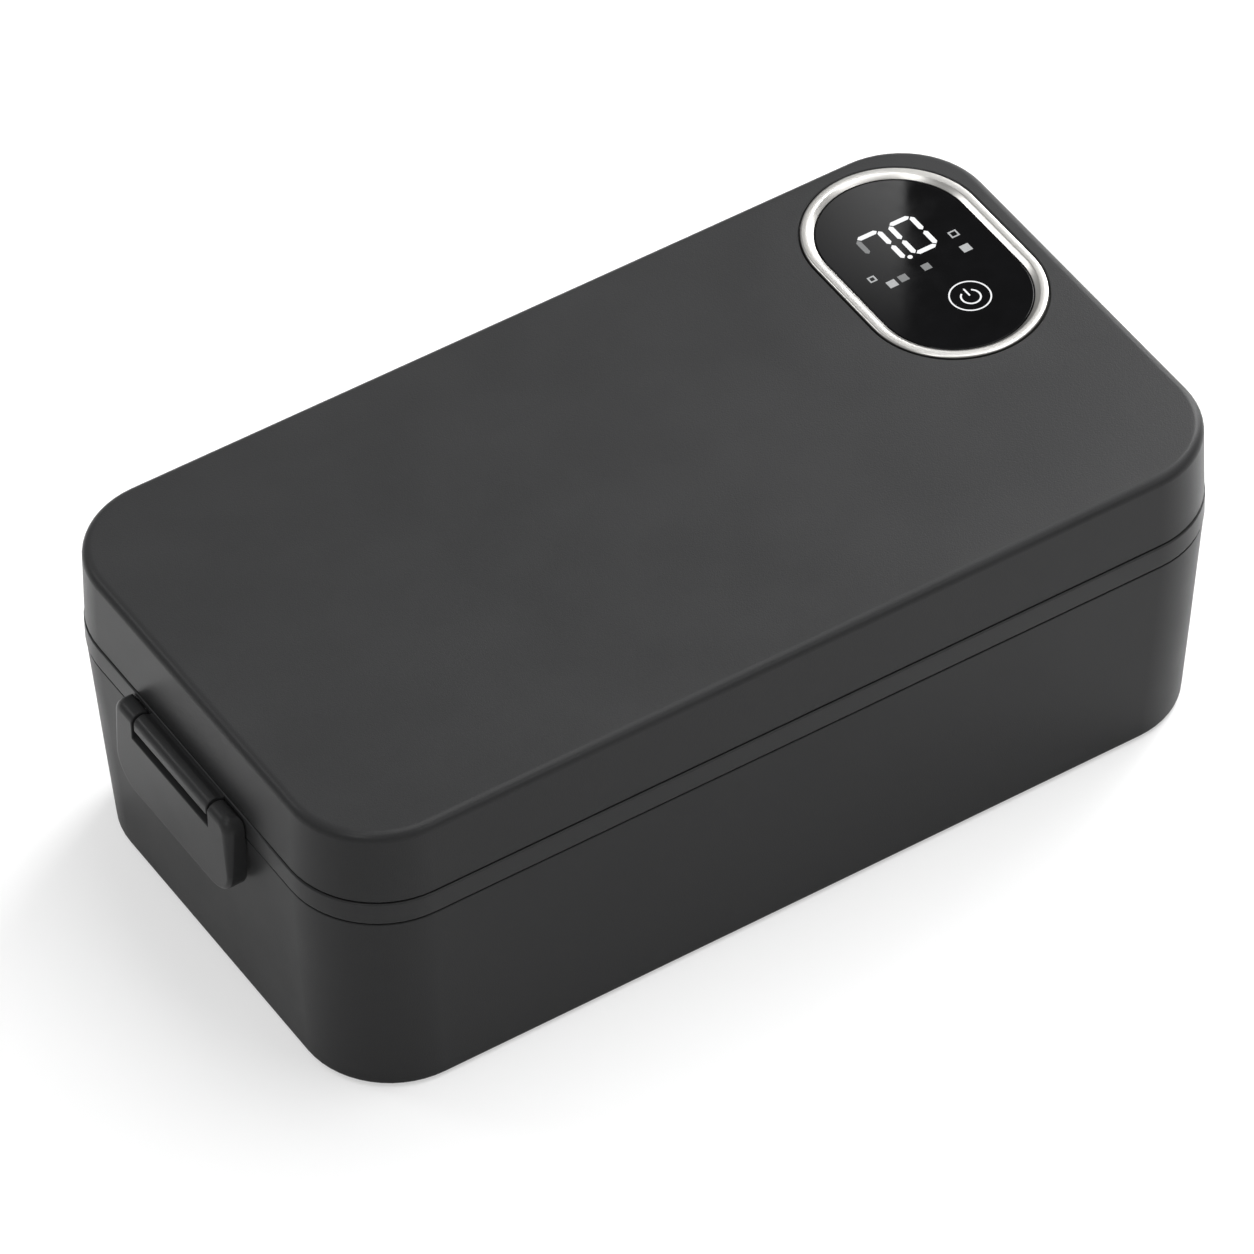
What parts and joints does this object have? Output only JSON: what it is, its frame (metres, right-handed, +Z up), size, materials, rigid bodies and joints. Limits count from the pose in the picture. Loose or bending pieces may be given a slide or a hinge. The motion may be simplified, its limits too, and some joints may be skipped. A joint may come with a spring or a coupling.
{
  "type": "electric lunch box",
  "caption": "Cordless heated lunch box with a rounded matt case, hinged lid, end snap latch and a touch display set into the lid's corner.",
  "frame": {"origin": "on the surface it stands on, under the middle of the case", "axes": "+X along the case towards the hinge and display end, +Y to the back, +Z up"},
  "size_m": [0.2508, 0.1294, 0.0852],
  "materials": {
    "case_plastic": "fine matt texture",
    "lid_plastic": "fine matt texture",
    "frame_plastic": "fine matt texture",
    "latch_plastic": "smooth satin",
    "cover_plastic": "matt",
    "inner_plastic": "matt",
    "well_plastic": "satin grey",
    "socket_plastic": "gloss",
    "foot_rubber": "matt",
    "seal_silicone": "satin",
    "screw_steel": "zinc plated",
    "pin_steel": "polished",
    "pot_steel": "brushed stainless",
    "ring_steel": "satin, warm",
    "plate_aluminium": "satin",
    "nickel": "nickel strip",
    "touch_copper": "copper",
    "display_glass": "black gloss",
    "led_block": "matt",
    "light_guide": "milky",
    "circuit_board": "solder mask",
    "cell_wrap": "shrink film",
    "heater_amber": "polyimide film",
    "insulation": "mineral felt",
    "foam": "closed cell foam",
    "sensor_ceramic": "ceramic",
    "fuse_body": "coated",
    "wire_red": "insulated wire",
    "wire_grey": "insulated wire",
    "wire_black": "insulated wire"
  },
  "bodies": {
    "base": {"base_shell": "case_plastic", "bottom_cover": "cover_plastic", "cover_screws": "screw_steel", "rubber_feet": "foot_rubber", "battery_holder": "inner_plastic", "battery_cells": "cell_wrap", "cell_tabs": "nickel", "power_board": "circuit_board", "board_screws": "screw_steel", "charging_socket": "socket_plastic", "battery_leads": "wire_red", "heater_leads": "wire_grey", "insulation_pad": "insulation", "heater_film": "heater_amber", "heating_plate": "plate_aluminium", "temperature_sensor": "sensor_ceramic", "thermal_fuse": "fuse_body", "heating_well": "well_plastic", "well_screws": "screw_steel", "food_pot": "pot_steel", "base_harness": "wire_black", "hinge_pins": "pin_steel"},
    "lid": {"lid_frame": "frame_plastic", "lid_inner_plate": "well_plastic", "lid_seal": "seal_silicone", "lid_insulation": "foam", "lid_screws": "screw_steel", "lid_cover": "lid_plastic", "display_ring": "ring_steel", "display_glass": "display_glass", "display_tray": "inner_plastic", "tray_screws": "screw_steel", "display_board": "circuit_board", "digit_module": "led_block", "icon_light_guide": "light_guide", "touch_pad": "touch_copper", "lid_harness": "wire_black"},
    "latch": {"latch_flap": "latch_plastic", "latch_pin": "pin_steel"}
  },
  "joints": [
    {"name": "lid_hinge", "type": "hinge", "parent": "base", "child": "lid", "pos_m": [0.1227, 0, 0.05755], "axis": [0, 1, 0], "range_deg": [0, 100]},
    {"name": "latch_pivot", "type": "hinge", "parent": "lid", "child": "latch", "pos_m": [-0.1227, 0.002, 0.062], "axis": [0, 1, 0], "range_deg": [0, 105]}
  ]
}
